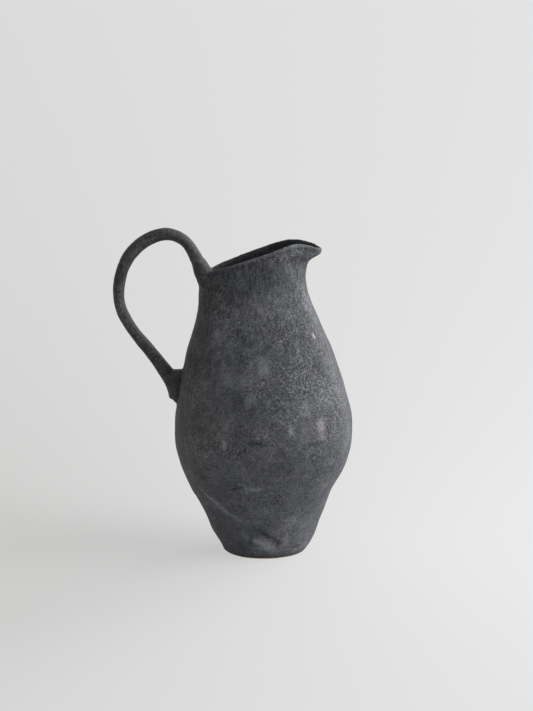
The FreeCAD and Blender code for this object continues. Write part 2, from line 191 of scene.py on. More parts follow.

# Marks on the wall, most of them left by hand and a few of them painted shade and highlights:
# bearing in degrees, height, width and length in mm, lean in degrees to the right at the top, how
# much paler than the clay, and how brown
MARKS = [
    (-138, 205, 9, 14, 0, 0.50, 0.0),
    (-91, 182, 8, 13, -20, 0.55, 0.0),
    (-120, 170, 13, 20, 15, 0.36, 0.0),
    (-108, 180, 22, 30, 0, 0.12, 0.0),
    (-99, 156, 9, 14, 0, 0.30, 0.0),
    (-118, 126, 26, 24, 0, 0.20, 0.5),
    (-115, 113, 5, 9, 0, 0.60, 0.9),
    (-126, 103, 16, 9, -35, 0.36, 0.2),
    (-150, 103, 3, 18, -8, 0.50, 0.2),
    (-143, 110, 3, 16, -8, 0.30, 0.2),
    (-50, 128, 7, 12, 10, 1.20, 0.8),
    (-50, 118, 5, 6, 0, 0.60, 0.8),
    (-72, 126, 5, 8, 0, 0.90, 0.0),
    (-77, 134, 2, 14, -50, 0.70, 0.0),
    (-70, 138, 2, 12, -35, 0.50, 0.0),
    (-42, 154, 22, 20, 0, 0.42, 0.0),
    (-61, 144, 11, 12, 0, 0.34, 0.0),
    (-44, 186, 26, 70, 0, -0.20, 0.0),
    (-24, 168, 18, 60, -10, 0.28, 0.0),
    (-94, 117, 15, 4, 4, -0.60, 0.0),
    (-58, 113, 16, 5, 0, -0.30, 0.0),
    (-111, 73, 16, 2.5, -14, -0.45, 0.0),
    (-97, 72, 18, 5, -5, 0.65, 0.0),
    (-104, 76, 3, 8, -55, 0.50, 0.0),
    (-140, 61, 3, 16, -48, 0.60, 0.0),
    (-130, 52, 4, 20, -55, 0.60, 0.0),
    (-118, 43, 6, 16, -70, 0.42, 0.0),
    (-108, 38, 14, 9, 0, 0.26, 0.0),
    (-91, 16, 8, 24, -62, 1.00, 0.0),
    (-86, 24, 3, 26, -60, -0.50, 0.0),
    (-104, 21, 4, 14, 20, -0.50, 0.0),
    (-73, 17, 3, 14, 8, -0.35, 0.0),
    (-65, 15, 7, 9, 0, 0.40, 0.0),
    (-70, 38, 14, 12, 0, 0.20, 0.15),
    (-45, 24, 34, 26, 0, 0.16, 0.0),
    (-34, 204, 1.6, 3.4, -12, 7.0, 1.6),
    (-160, 234, 14, 34, 0, -0.22, 0.9),
    # Painted shade on the neck under the rim, on the side away from the light
    (-150, 252, 30, 40, 0, -0.20, 0.0),
    (-156, 175, 22, 80, 0, -0.24, 0.2),
    (-152, 150, 9, 40, 0, 0.05, 0.6),
    (-100, 142, 50, 22, 0, -0.16, 0.0),
    # Painted shade where the lower body faces down, away from the light
    (-70, 88, 62, 50, 0, -0.16, 0.0),
    # These two: painted shade on the neck under the rim, on the side away from the light
    (-125, 256, 46, 40, 0, -0.20, 0.0),
    (-96, 264, 40, 26, 0, -0.14, 0.0),
    (-127, 214, 7, 30, 8, 0.24, 0.0),
    (-95, 232, 24, 34, 4, 0.16, 0.0),
    (-79, 274, 3, 9, -50, 0.40, 0.0),
    (-70, 276, 3, 8, -50, 0.34, 0.0),
    # Painted shadow under the beak's nib, then a painted highlight on the nib
    (-36, 272, 12, 8, 0, -0.30, 0.0),
    (3, 276, 12, 5, 0, 0.50, 0.0),
    (-20, 225, 15, 60, -6, 0.30, 0.0),
    (-20, 100, 18, 60, 4, 0.22, 0.0),
    (38, 150, 24, 18, 0, 0.32, 0.0),
    (62, 190, 12, 22, 12, 0.28, 0.1),
    (95, 126, 20, 14, -20, 0.24, 0.2),
    (118, 90, 24, 4, 8, -0.40, 0.0),
    (140, 160, 14, 24, 10, 0.22, 0.3),
    (80, 60, 16, 9, -25, 0.35, 0.0),
    (150, 50, 12, 10, 20, 0.25, 0.0),
    (15, 90, 16, 12, 25, 0.24, 0.0),
    (105, 215, 9, 26, 0, 0.20, 0.0),
    (172, 110, 16, 20, 0, 0.18, 0.5),
    (60, 110, 4, 9, 0, 0.45, 0.7),
]

# Where the wall was left fuller by hand: bearing, height, width, length and how much, in mm
FULLER = [
    (180, 243, 30, 16, 1.3),
    (180, 92, 30, 26, 0.7),
    (180, 55, 34, 16, 0.5),
    (180, 22, 34, 14, 0.7),
    (0, 12, 70, 26, 1.2),
    (-80, 3, 60, 12, 1.0),
    (168, 215, 10, 6, 0.6),
    (170, 34, 9, 6, 0.5),
]

# Where the skin of the clay is crazed: bearing, height, width, length and how strongly
CRAZED = [
    (-36, 236, 12, 20, 1.0),
    (-43, 205, 20, 26, 1.0),
    (-45, 160, 26, 30, 1.1),
    (-34, 145, 18, 20, 1.2),
    (-62, 200, 22, 40, 0.5),
    (-72, 150, 26, 24, 0.4),
    (-40, 120, 24, 16, 0.5),
    (-56, 104, 10, 10, 0.7),
    (-90, 60, 30, 12, 0.35),
    (-50, 275, 22, 8, 0.6),
    (5, 180, 30, 50, 0.8),
    (45, 140, 30, 40, 0.8),
    (80, 190, 26, 30, 0.7),
    (130, 130, 30, 30, 0.5),
    (-150, 170, 20, 20, 0.3),
    (170, 60, 20, 20, 0.5),
]


def surface_of(names):
    """A surface that rays can be cast at, made of some of the solids."""
    points = []
    faces = []
    for name in names:
        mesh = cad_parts[name].data
        start = len(points)
        points += [vertex.co.copy() for vertex in mesh.vertices]
        faces += [[start + corner for corner in face.vertices] for face in mesh.polygons]
    return BVHTree.FromPolygons(points, faces)


wall_surface = surface_of(WALL_NODES)
coil_surface = surface_of(["floor_coil"])


# Noise in space: the size of its table, the keys that spread it, and what brings it near 1
NOISE_TABLE = 4096
NOISE_KEYS = (73856093, 19349663, 83492791)
NOISE_GAIN = 1.6
LAYER_SHARE = 1.5

# How fast a mark fades from its middle
SPOT_FALL = 0.9


def smooth_noise(points, cell, seed, stretch=(1, 1, 1)):
    """Gradient noise, about -1 to 1, whose features are about a cell across."""
    table = np.random.default_rng(seed).normal(size=(NOISE_TABLE, 3))
    table /= np.linalg.norm(table, axis=1)[:, None]
    scaled = points / (cell * np.array(stretch))
    base = np.floor(scaled).astype(np.int64)
    inside = scaled - base
    fade = inside ** 3 * (inside * (inside * 6 - 15) + 10)
    total = np.zeros(len(points))
    for corner in np.ndindex(2, 2, 2):
        first, second, third = ((base + corner) * np.array(NOISE_KEYS)).T
        index = (first ^ second ^ third) % NOISE_TABLE
        weight = np.prod(np.where(corner, fade, 1 - fade), axis=1)
        total += weight * np.einsum("ij,ij->i", table[index], inside - corner)
    return total * NOISE_GAIN


def layered_noise(points, cell, seed, octaves=3, stretch=(1, 1, 1)):
    """Noise with finer noise over it."""
    total = np.zeros(len(points))
    for octave in range(octaves):
        total += smooth_noise(points, cell / 2 ** octave, seed + octave, stretch) / 2 ** octave
    return total / LAYER_SHARE


def ramp(values, low, high):
    """0 below low, 1 above high, and smooth between."""
    share = np.clip((values - low) / (high - low), 0, 1)
    return share * share * (3 - 2 * share)


def spot(bearing, around, height, place):
    """How near each point is to the middle of a mark, from 0 to 1."""
    at, level, width, length, lean = place
    turn = (bearing - math.radians(at) + math.pi) % (2 * math.pi) - math.pi
    across = turn * around
    along = height - level * MM
    lean = math.radians(lean)
    sideways = across * math.cos(lean) - along * math.sin(lean)
    upward = across * math.sin(lean) + along * math.cos(lean)
    square = (2 * sideways / (width * MM)) ** 2 + (2 * upward / (length * MM)) ** 2
    return np.exp(-SPOT_FALL * square)


def fullness(points):
    """How much further out the wall stands where it was left fuller."""
    around = np.hypot(points[:, 0], points[:, 1])
    bearing = np.arctan2(points[:, 1], points[:, 0])
    total = np.zeros(len(points))
    for at, up, width, length, fuller in FULLER:
        total += fuller * MM * spot(bearing, around, points[:, 2], (at, up, width, length, 0))
    return total


def surface_marks(points):
    """The relief outwards, and the tone (with painted shade and highlights among it), brownness and
    crazing of the clay, at points.
    """
    height = points[:, 2]
    around = np.hypot(points[:, 0], points[:, 1])
    warp = np.stack([layered_noise(points, WARP_CELL, seed, 2) for seed in (3, 5)], axis=1)
    bearing = np.arctan2(points[:, 1], points[:, 0]) + WARP * warp[:, 0] / (around + MM)
    level = height + WARP * warp[:, 1]

    swell = layered_noise(points, SWELL_CELL, 11, 2, (1, 1, 0.7))
    dents = layered_noise(points, DENT_CELL, 21, 2, (1, 1, 0.8))
    grit = layered_noise(points, GRIT_CELL, 31, 2)
    cells = 1 - 2.4 * np.abs(smooth_noise(points, CRACKLE_CELL, 41))
    veins = 1 - 2.4 * np.abs(smooth_noise(points, VEIN_CELL, 45))

    crazed = 0.30 + 0.55 * ramp(layered_noise(points, CRAZED_CELL, 51, 2), -0.2, 0.5)
    for at, up, width, length, strength in CRAZED:
        width, length = width * CRAZED_SPREAD, length * CRAZED_SPREAD
        crazed += strength * spot(bearing, around, level, (at, up, width, length, 0))
    crazed *= 0.55 + 0.75 * ramp(layered_noise(points, CRAZED_PATCH, 57, 2), -0.4, 0.5)
    crazed = np.clip(crazed, 0, 1.5) * (0.6 + 0.4 * ramp(height, *CRAZED_FROM))

    tone = np.zeros(len(points))
    brown = np.zeros(len(points))
    patchy = 0.75 + 0.5 * layered_noise(points, MARK_PATCH, 61, 2)
    for at, up, width, length, lean, pale, warm in MARKS:
        near = spot(bearing, around, level, (at, up, width, length, lean)) * patchy
        tone += MARK_TONE * pale * near
        brown += warm * near

    ribs = layered_noise(points, RIB_CELL, 71, 2, (1, 1, 16))
    ribbed = ramp(height, *RIBS_FROM_BELOW) * ramp(height, *RIBS_FROM_ABOVE) * 0.8 + 0.12
    wipes = layered_noise(points, WIPE_CELL, 81, 2, (9, 9, 1))
    wiped = ramp(height, *WIPED_FROM) * (0.35 + 0.65 * ramp(swell, -0.2, 0.4)) + 0.08

    bands = np.sin(2 * math.pi * (height - FLOOR) * len(COURSES) / (COLLAR_SEAM - FLOOR))
    bands *= ramp(layered_noise(points, BAND_CELL, 91, 1), -0.6, 0.6)

    rise = (SWELL * swell + DENT * dents + GRIT * grit + CRACKLE * crazed * (cells + 0.5 * veins)
            + RIBBING * ribbed * ribs + WIPING * wiped * wipes + BAND * bands
            + MARK_RISE * np.clip(tone, -1, 1))
    clouds = layered_noise(points, CLOUD_CELL, 101, 3)
    flecks = layered_noise(points, FLECK_CELL, 111, 3)
    dabbed = 1 + DABBED_TONE * spot(bearing, around, height, DABBED)
    tone += dabbed * (CLOUD_TONE * clouds + FLECK_TONE * flecks) + RIB_TONE * ribbed * ribs
    # Painted shade where the foot turns under, near the floor
    tone -= FOOT_SHADE_TONE * ramp(height, *SHADED_FOOT)
    tone += WIPE_TONE * wiped * wipes + GRIT_TONE * grit
    brown += TINT_BROWN * ramp(layered_noise(points, TINT_CELL, 121, 2), 0.1, 0.9)
    brown += WARM_BROWN * ramp(-points[:, 0], *WARM_SIDE)
    return rise, {"tone": tone, "brown": brown, "crazed": crazed}


# Building meshes

def as_piece(name, points, faces, loop_normals=None):
    """An object from points and faces, shaded smooth."""
    mesh = bpy.data.meshes.new(name)
    mesh.from_pydata(points.tolist(), [], faces)
    mesh.update()
    mesh.shade_smooth()
    if loop_normals is not None:
        mesh.normals_split_custom_set(loop_normals.tolist())
    piece = bpy.data.objects.new(name, mesh)
    bpy.context.scene.collection.objects.link(piece)
    return piece


def store(piece, values):
    """Numbers at each point of a piece, for its material to read."""
    for name, numbers in values.items():
        attribute = piece.data.attributes.new(name, "FLOAT", "POINT")
        attribute.data.foreach_set("value", numbers.astype(np.float32))


def mesh_arrays(mesh):
    """A mesh's points, edges and point normals."""
    points = np.empty(len(mesh.vertices) * 3)
    mesh.vertices.foreach_get("co", points)
    edges = np.empty(len(mesh.edges) * 2, np.int64)
    mesh.edges.foreach_get("vertices", edges)
    normals = np.empty(len(mesh.vertices) * 3)
    mesh.vertices.foreach_get("normal", normals)
    return points.reshape(-1, 3), edges.reshape(-1, 2), normals.reshape(-1, 3)


# The handle and the clay that lutes it, smoothed into one form and into the wall

def smoothed(points, edges, rounds):
    """Points moved towards their neighbours' mean, in rounds."""
    count = np.bincount(edges.ravel(), minlength=len(points))[:, None]
    for _ in range(rounds):
        total = np.stack([np.bincount(edges[:, 0], points[edges[:, 1], axis], len(points))
                          + np.bincount(edges[:, 1], points[edges[:, 0], axis], len(points))
                          for axis in range(3)], axis=1)
        points = points + SMOOTH_SHARE * (total / count - points)
    return points


def fused_handle():
    """One closed mesh round the handle and its lutings."""
    points = []
    faces = []
    for name in HANDLE_NODES:
        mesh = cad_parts[name].data
        start = len(points)
        points += [tuple(vertex.co) for vertex in mesh.vertices]
        faces += [[start + corner for corner in face.vertices] for face in mesh.polygons]
    source = as_piece("handle_source", np.array(points), faces)
    skin = source.modifiers.new("skin", "REMESH")
    skin.mode = "VOXEL"
    skin.voxel_size = HANDLE_CELL
    evaluated = source.evaluated_get(bpy.context.evaluated_depsgraph_get())
    mesh = bpy.data.meshes.new_from_object(evaluated)
    rough = source.data
    bpy.data.objects.remove(source)
    bpy.data.meshes.remove(rough)
    points, edges, _ = mesh_arrays(mesh)
    mesh.vertices.foreach_set("co", smoothed(points, edges, SMOOTH_ROUNDS).ravel())
    mesh.update()
    return mesh


def wall_distances(points):
    """Each point's distance out of the wall, and the way out and up there."""
    bearing = np.arctan2(points[:, 1], points[:, 0])
    upward = np.full(len(points), UP_SHARE)
    outward = np.column_stack([np.cos(bearing), np.sin(bearing), upward])
    outward /= np.linalg.norm(outward, axis=1)[:, None]
    nearest = np.array([wall_surface.find_nearest(Vector(point))[0] for point in points])
    away = points - nearest
    side = np.sign(np.einsum("ij,ij->i", away, outward))
    return side * np.linalg.norm(away, axis=1), outward


def handle_piece(mesh):
    """The handle, with its relief and painted shade, swollen where it joins the wall and sunk into
    it.
    """
    points, _, normals = mesh_arrays(mesh)
    distances, outward = wall_distances(points)
    rise, values = surface_marks(points)
    pits = ramp(smooth_noise(points, PIT_CELL, 141), *PITTED_FROM)
    # The handle is painted darker all over as shade, and darker still in its pits
    values["tone"] = values["tone"] * HANDLE_TONE_SHARE - PIT_TONE * pits - HANDLE_PAINTED_SHADE
    values["inside"] = np.zeros(len(points))
    close = np.clip(BLEND - np.abs(distances), 0, None) ** 2 / (4 * BLEND)
    rise = rise + HANDLE_FULLER - PIT * pits + close
    moved = points + normals * rise[:, None]
    moved -= outward * (SUNK * ramp(distances, SUNK_FROM, SUNK_AT))[:, None]
    piece = as_piece("pulled_handle", moved, [tuple(face.vertices) for face in mesh.polygons])
    store(piece, values)
    return piece


handle_form = fused_handle()
handle = handle_piece(handle_form)
handle_surface = BVHTree.FromPolygons([vertex.co.copy() for vertex in handle_form.vertices],
                                      [tuple(face.vertices) for face in handle_form.polygons])
bpy.data.meshes.remove(handle_form)


def raised_by_handle(points):
    """How far the wall swells where the handle joins it."""
    raised = np.zeros(len(points))
    low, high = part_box("lower_luting")[0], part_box("upper_luting")[1]
    close = (points[:, 0] < low.x + BLEND_REACH) & (np.abs(points[:, 1]) < BLEND_SIDE)
    close &= (points[:, 2] > low.z - BLEND_OVER) & (points[:, 2] < high.z + BLEND_OVER)
    for number in np.nonzero(close)[0]:
        found = handle_surface.find_nearest(Vector(points[number]), BLEND)
        if found[0] is not None:
            raised[number] = (BLEND - found[3]) ** 2 / (4 * BLEND)
    return raised


# The wall, as a grid of bearings and rows with an outside and an inside point in each

def reach(bearing, height, outer=True, surface=wall_surface):
    """How far from the axis a surface's outside or inside is, or None where it has none."""
    heading = Vector((math.cos(bearing), math.sin(bearing), 0))
    axis = Vector((0, 0, height))
    if outer:
        hit = surface.ray_cast(axis + heading * OUTSIDE, -heading, OUTSIDE)[0]
    else:
        hit = surface.ray_cast(axis, heading, OUTSIDE)[0]
    return None if hit is None else math.hypot(hit.x, hit.y)


def crest(bearing):
    """The height of the rim at a bearing."""
    low = CREST_LOW
    high = CREST_HIGH
    while high - low > CREST_STEP:
        middle = (low + high) / 2
        if reach(bearing, middle) is None:
            high = middle
        else:
            low = middle
    return low


def seam(bearing, height, back, outer):
    """Where a seam lies at a bearing: it is a cone that falls towards the inside."""
    level = height
    for _ in range(4):
        level = height + (reach(bearing, level, outer) - back) * SEAM_SLOPE
    return level


def levels(bearing, seams, top, outer):
    """Heights of the wall's rows at a bearing, up to where the rim starts to turn over."""
    below_top = top - RIM_ROLL
    knots = [FLOOR] + [seam(bearing, height, back, outer) for height, back in seams]
    knots += [min(LIP_SEAM, below_top - LEAST_LIP), below_top]
    counts = [COURSE_ROWS] * len(COURSES) + [COLLAR_ROWS, LIP_ROWS]
    rows = [FLOOR * (step / FOOT_ROWS) ** FOOT_ROW_POWER for step in range(FOOT_ROWS)]
    for start, end, count in zip(knots, knots[1:], counts):
        rows += [start + (end - start) * step / count for step in range(count)]
    return rows + [below_top]


def wall_column(bearing, seams):
    """Outside and inside distances and heights of the wall at a bearing, with a round rim."""
    top = crest(bearing)
    columns = []
    for outer in (True, False):
        heights = levels(bearing, seams, top, outer)
        if not outer:
            heights[:FOOT_ROWS] = [FLOOR] * FOOT_ROWS
        columns.append([(reach(bearing, height + JUST_ABOVE, outer), height)
                        for height in heights])
    outside, inside = columns
    (far, high), (near, _) = outside[-1], inside[-1]
    lean = ((far + near) - (outside[-4][0] + inside[-4][0])) / 2 / (high - outside[-4][1])
    for step in range(1, ROLL_ROWS + 1):
        turn = math.pi / 2 * step / ROLL_ROWS
        height = high + (top - high) * math.sin(turn)
        centre = (far + near) / 2 + RIM_LEAN_SHARE * lean * (height - high)
        outside.append((centre + (far - near) / 2 * math.cos(turn), height))
        inside.append((centre - (far - near) / 2 * math.cos(turn), height))
    return outside, inside


def wall_grid():
    """The outside and inside points of the wall, by bearing and row."""
    count = len(COURSES)
    heights = [FLOOR + (COLLAR_SEAM - FLOOR) * (index + 1) / count for index in range(count)]
    seams = [(height, reach(math.pi, height)) for height in heights]
    sides = ([], [])
    for step in range(BEARINGS):
        bearing = 2 * math.pi * step / BEARINGS
        for side, column in zip(sides, wall_column(bearing, seams)):
            side.append([(r * math.cos(bearing), r * math.sin(bearing), z) for r, z in column])
    return [np.array(side) for side in sides]


def grid_normals(grid, flip):
    """Smooth normals of a grid that closes round its first direction."""
    across = np.roll(grid, -1, axis=0) - np.roll(grid, 1, axis=0)
    along = np.gradient(grid, axis=1)
    normals = np.cross(across, along)
    if flip:
        normals = -normals
    lengths = np.linalg.norm(normals, axis=2)[:, :, None]
    return normals / np.maximum(lengths, 1e-15)


def rim_wave(grid):
    """How much higher the points near the rim are, where it was left wavy."""
    depth = grid[:, -1:, 2] - grid[:, :, 2]
    wave = layered_noise(grid[:, -1], RIM_WAVE_LENGTH, 151, 2)
    return RIM_WAVE * wave[:, None] * np.exp(-(depth / RIM_WAVE_DEPTH) ** 2)


class Wall:
    """The meshed wall, from which each piece is cut as a set of cells."""

    def __init__(self):
        sides = wall_grid()
        self.shape = sides[0].shape[:2]
        points = []
        normals = []
        values = []
        for grid, flip in zip(sides, (False, True)):
            facing = grid_normals(grid, flip)
            flat = grid.reshape(-1, 3)
            rise, found = surface_marks(flat)
            depth = (grid[:, -1:, 2] - grid[:, :, 2]).ravel()
            edge = np.exp(-(depth / EDGE_DEPTH) ** 2)
            groove = np.exp(-((depth - GROOVE_DEPTH) / GROOVE_WIDTH) ** 2)
            # Painted highlight along the rim's top on both sides, and painted shadow in the groove
            # under its outer edge
            found["tone"] = found["tone"] + RIM_HIGHLIGHT_TONE * edge - (0 if flip else GROOVE_SHADOW_TONE) * groove
            if flip:
                rise = INSIDE_RISE * rise
                found["brown"] = found["brown"] * INSIDE_BROWN
            else:
                rise = (1 + edge) * rise - INSET + fullness(flat) + raised_by_handle(flat)
                rise += RIM_EDGE * edge - RIM_GROOVE * groove
            moved = grid + facing * rise.reshape(self.shape)[:, :, None]
            moved[:, :, 2] += rim_wave(grid)
            moved[:, :, 2] = np.maximum(moved[:, :, 2], 0)
            points.append(moved)
            normals.append(grid_normals(moved, flip))
            found["inside"] = np.full(len(flat), float(flip))
            values.append(found)
        rim = (points[0][:, -1] + points[1][:, -1]) / 2
        up = normals[0][:, -1] + normals[1][:, -1]
        up /= np.linalg.norm(up, axis=1)[:, None]
        for side in (0, 1):
            points[side][:, -1] = rim
            normals[side][:, -1] = up
        self.points = np.concatenate([grid.reshape(-1, 3) for grid in points])
        self.normals = np.concatenate([grid.reshape(-1, 3) for grid in normals])
        self.values = {key: np.concatenate([side[key] for side in values]) for key in values[0]}

    def at(self, side, column, row):
        """The number of a grid point, on the outside (0) or the inside (1)."""
        columns, rows = self.shape
        side = np.where(row == rows - 1, 0, side)
        return (side * columns + column % columns) * rows + row

    def piece(self, name, cells):
        """The cells of the wall that belong to a piece, as one closed mesh."""
        at = self.at
        c, r = np.nonzero(cells)
        skin = [np.stack([at(0, c, r), at(0, c + 1, r), at(0, c + 1, r + 1), at(0, c, r + 1)], 1),
                np.stack([at(1, c, r), at(1, c, r + 1), at(1, c + 1, r + 1), at(1, c + 1, r)], 1)]
        below = np.pad(cells, ((0, 0), (1, 0)))[:, :-1]
        above = np.pad(cells, ((0, 0), (0, 1)))[:, 1:]
        above[:, -1] = True
        c, r = np.nonzero(cells & ~below)
        ends = [np.stack([at(0, c + 1, r), at(0, c, r), at(1, c, r), at(1, c + 1, r)], 1)]
        c, r = np.nonzero(cells & ~above)
        ends.append(np.stack([at(0, c, r + 1), at(0, c + 1, r + 1),
                              at(1, c + 1, r + 1), at(1, c, r + 1)], 1))
        c, r = np.nonzero(cells & ~np.roll(cells, 1, axis=0))
        ends.append(np.stack([at(0, c, r), at(0, c, r + 1), at(1, c, r + 1), at(1, c, r)], 1))
        c, r = np.nonzero(cells & ~np.roll(cells, -1, axis=0))
        ends.append(np.stack([at(0, c + 1, r + 1), at(0, c + 1, r),
                              at(1, c + 1, r), at(1, c + 1, r + 1)], 1))
        skin = np.concatenate(skin)
        ends = np.concatenate(ends)
        corners = self.points[ends]
        flat = np.cross(corners[:, 2] - corners[:, 0], corners[:, 3] - corners[:, 1])
        flat /= np.maximum(np.linalg.norm(flat, axis=1), 1e-15)[:, None]
        directions = np.concatenate([self.normals[skin], np.repeat(flat[:, None], 4, axis=1)])
        return self.mesh(name, np.concatenate([skin, ends]), directions)

    def mesh(self, name, quads, directions):
        """An object from grid points. A cell at the very rim may have one corner twice."""
        used, compact = np.unique(quads, return_inverse=True)
        compact = compact.reshape(quads.shape)
        faces = []
        loops = []
        for corners, facing in zip(compact.tolist(), directions):
            kept = [place for place in range(4) if corners[place] != corners[place - 1]]
            faces.append([corners[place] for place in kept])
            loops.append(facing[kept])
        made = as_piece(name, self.points[used], faces, np.concatenate(loops))
        store(made, {key: numbers[used] for key, numbers in self.values.items()})
        return made


def wall_pieces(wall):
    """The eight courses, the collar and the lip."""
    columns, rows = wall.shape
    made = {}
    for number, name in enumerate(COURSES):
        cells = np.zeros((columns, rows - 1), bool)
        start = FOOT_ROWS + number * COURSE_ROWS
        cells[:, start:start + COURSE_ROWS] = True
        made[name] = wall.piece(name + "_clay", cells)
    start = FOOT_ROWS + len(COURSES) * COURSE_ROWS
    bearing = (np.arange(columns) + 0.5) * 2 * math.pi / columns
    ahead = np.abs((bearing + math.pi) % (2 * math.pi) - math.pi) < LIP_HALF_ANGLE
    lip = np.zeros((columns, rows - 1), bool)
    lip[:, start + COLLAR_ROWS:] = ahead[:, None]
    collar = np.zeros((columns, rows - 1), bool)
    collar[:, start:] = True
    made["mouth_collar"] = wall.piece("mouth_collar_clay", collar & ~lip)
    made["pouring_lip"] = wall.piece("pouring_lip_clay", lip)
    return made


def ringed_piece(name, rings, inner, closed):
    """A piece from rings of points round the axis, which meet, or end in a flat face each."""
    rings = np.array(rings)
    count, columns = rings.shape[:2]
    points = rings.reshape(-1, 3)
    faces = []
    for ring in range(count if closed else count - 1):
        for column in range(columns):
            after = (column + 1) % columns
            above = (ring + 1) % count
            faces.append([ring * columns + column, ring * columns + after,
                          above * columns + after, above * columns + column])
    if not closed:
        faces.append(list(range(columns))[::-1])
        faces.append(list(range(len(points) - columns, len(points))))
    piece = as_piece(name, points, faces)
    _, values = surface_marks(points)
    values["inside"] = np.array(inner, float).repeat(columns)
    store(piece, values)
    return piece


def foot_piece(wall):
    """The slab that the jug is built on: its flat underside, its side and its floor."""
    columns, rows = wall.shape
    side = wall.points.reshape(2, columns, rows, 3)[0][:, :FOOT_ROWS + 1]
    rings = []
    for ring in range(1, DISC_RINGS):
        disc = side[:, 0] * (ring / DISC_RINGS) ** DISC_POWER
        disc[:, 2] = 0
        rings.append(disc)
    rings += [side[:, row] for row in range(FOOT_ROWS + 1)]
    for ring in range(DISC_RINGS - 1, 0, -1):
        disc = side[:, -1] * (ring / DISC_RINGS)
        disc[:, 2] = FLOOR + FLOOR_DENT * layered_noise(disc, FLOOR_CELL, 131, 3) - FLOOR_LOW
        rings.append(disc)
    inner = [0] * (DISC_RINGS + FOOT_ROWS) + [1] * (DISC_RINGS - 1)
    return ringed_piece("foot_slab_clay", rings, inner, False)


def coil_piece():
    """The coil pressed into the corner between the floor and the wall."""
    bearings = np.arange(BEARINGS) * 2 * math.pi / BEARINGS
    heading = np.stack([np.cos(bearings), np.sin(bearings)], axis=1)
    front = []
    back = []
    for row in range(COIL_ROWS + 1):
        height = FLOOR + COIL_GAP + (COIL_TOP - FLOOR - 2 * COIL_GAP) * row / COIL_ROWS
        wall_at = [reach(b, height, False) for b in bearings]
        near = np.array([reach(b, height, False, coil_surface) or far
                         for b, far in zip(bearings, wall_at)])
        far = np.array(wall_at) + COIL_SUNK
        level = np.full(BEARINGS, height)
        flat = np.column_stack([heading * near[:, None], level])
        near = near - COIL_RISE * surface_marks(flat)[0]
        front.append(np.column_stack([heading * near[:, None], level]))
        back.append(np.column_stack([heading * far[:, None], level]))
    rings = front[::-1] + back
    return ringed_piece("floor_coil_clay", rings, [1] * len(rings), True)


wall = Wall()
pieces = wall_pieces(wall)
pieces["foot_slab"] = foot_piece(wall)
pieces["floor_coil"] = coil_piece()

# Materials

def graph(name):
    """A new material, its nodes, its links and its shader."""
    material = bpy.data.materials.new(name)
    material.use_nodes = True
    tree = material.node_tree
    return material, tree.nodes, tree.links, tree.nodes["Principled BSDF"]


def maths(nodes, links, operation, first, second):
    """A sum, product or other step on two sockets or numbers."""
    node = nodes.new("ShaderNodeMath")
    node.operation = operation
    for place, value in enumerate((first, second)):
        if isinstance(value, (int, float)):
            node.inputs[place].default_value = value
        else:
            links.new(value, node.inputs[place])
    return node.outputs[0]


def noise(nodes, links, place, scale, detail, roughness=0.55):
    """Noise about 0, from a vector socket."""
    node = nodes.new("ShaderNodeTexNoise")
    node.inputs["Scale"].default_value = scale
    node.inputs["Detail"].default_value = detail
    node.inputs["Roughness"].default_value = roughness
    links.new(place, node.inputs["Vector"])
    return maths(nodes, links, "SUBTRACT", node.outputs["Fac"], 0.5)


def attribute(nodes, name):
    """A stored number as a socket."""
    node = nodes.new("ShaderNodeAttribute")
    node.attribute_name = name
    return node.outputs["Fac"]


def share_of(nodes, links, value, low, high):
    """A socket's share of the way from low to high, from 0 to 1."""
    node = nodes.new("ShaderNodeMapRange")
    node.inputs["From Min"].default_value = low
    node.inputs["From Max"].default_value = high
    links.new(value, node.inputs["Value"])
    return node.outputs["Result"]


def mixed(nodes, links, share, first, second):
    """A blend of two colours."""
    node = nodes.new("ShaderNodeMix")
    node.data_type = "RGBA"
    links.new(share, node.inputs["Factor"])
    for place, value in ((6, first), (7, second)):
        if isinstance(value, tuple):
            node.inputs[place].default_value = value
        else:
            links.new(value, node.inputs[place])
    return node.outputs[2]


CLAY = (0.080, 0.083, 0.093, 1)
PALE = (0.247, 0.254, 0.272, 1)
DARK = (0.0145, 0.0155, 0.0185, 1)
UMBER = (0.095, 0.082, 0.073, 1)
ROSE = (0.310, 0.262, 0.258, 1)
CHIP = (0.720, 0.650, 0.560, 1)
RUST = (0.190, 0.080, 0.040, 1)

# The clay's finest features, as how many of them there are to a metre
MOTTLE_SCALE = 210
GRAIN_SCALE = 800
WRINKLE_SCALE = 400
PLATE_SCALE = 480
PLATE_BEND_SCALE = 420
BARE_SCALE = 70

# The crazed plates: how far they are bent, from where to where a crack fades as a share of a
# plate, their mean, and how strong they and the wrinkles are
PLATE_BEND = 1.6 * MM
CRACK_WIDTH = (0.02, 0.20)
PLATE_MEAN = 0.7
PLATE_GAIN = 0.35
WRINKLE_GAIN = 2.6

# The bare edge of the foot: how much it wavers, up to where it is bare, and where that ends
BARE_WAVER = 1.6 * MM
BARE_BELOW = 0.9 * MM
SKIN_ABOVE = 1.7 * MM

# How strongly the finest features show in the tone, the tones at which the clay is another
# colour, and how dark the painted shade inside the jug is
MOTTLE_TONE = 1.0
GRAIN_TONE = 2.2
HARSH_TONE = 2.4
CRACKLE_TONE = 1.0
PALE_AT = 1.4
DARK_AT = -0.9
CHIP_FROM = 4
CHIP_AT = 7
INSIDE_PAINTED_SHADE = 0.93

# How the clay takes the light: how rough it is, how much rougher where it is pale, how it
# shines, and its bumps
ROUGHNESS = 0.80
PALE_ROUGHER = 0.10
CLAY_SPECULAR = 0.35
BUMP = 0.12 * MM
BUMP_STRENGTH = 0.6
CRACKLE_BUMP = 0.8


